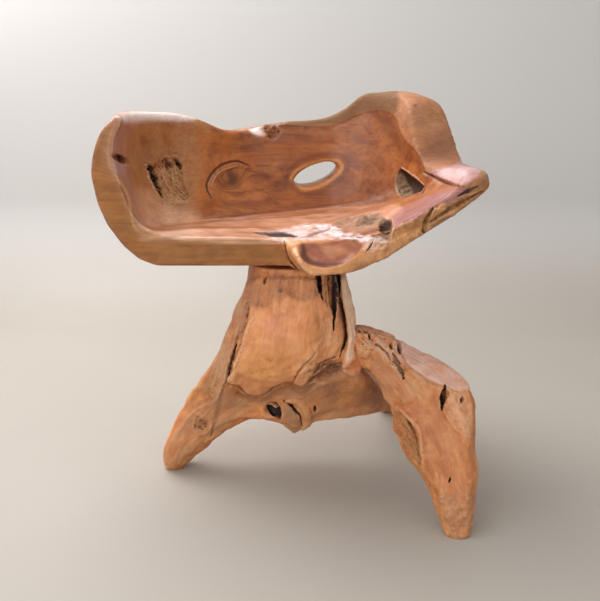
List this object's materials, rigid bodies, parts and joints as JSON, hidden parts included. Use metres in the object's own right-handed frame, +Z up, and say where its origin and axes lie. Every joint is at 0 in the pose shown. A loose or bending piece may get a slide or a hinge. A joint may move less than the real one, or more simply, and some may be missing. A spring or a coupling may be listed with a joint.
{
  "type": "tree trunk chair",
  "caption": "Low-backed chair carved from a trunk as a bowl seat with a window in its back, turning on a base of root wood legs.",
  "frame": {"origin": "on the floor, under the middle of the whole chair's bounding box", "axes": "+Z up; the sitter faces -Y and the back of the seat is towards +Y; +X is the side with the low horn and the long leg, on the viewer's right in the picture"},
  "size_m": [0.6672, 0.568, 0.6863],
  "materials": {
    "carved_seat_wood": "satin oiled teak, reddish brown hollow and tan sawn face",
    "root_wood": "smoothed root wood with dark clefts, satin",
    "dowel_wood": "plain turned hardwood",
    "bearing_steel": "zinc plated pressed steel",
    "ball_steel": "polished hardened steel",
    "screw_steel": "plated steel wood screws"
  },
  "bodies": {
    "base": {"root_stump": "root_wood", "right_root_leg": "root_wood", "right_leg_dowels": "dowel_wood", "back_root_leg": "root_wood", "back_leg_dowels": "dowel_wood", "lower_bearing_plate": "bearing_steel", "lower_plate_screws": "screw_steel", "bearing_balls": "ball_steel", "bearing_eyelet": "bearing_steel"},
    "seat": {"seat_bowl": "carved_seat_wood", "upper_bearing_plate": "bearing_steel", "upper_plate_screws": "screw_steel"}
  },
  "joints": [
    {"name": "seat_swivel", "type": "hinge", "parent": "base", "child": "seat", "pos_m": [0.00855, -0.036, 0.404], "axis": [0, 0, 1], "continuous": true}
  ]
}
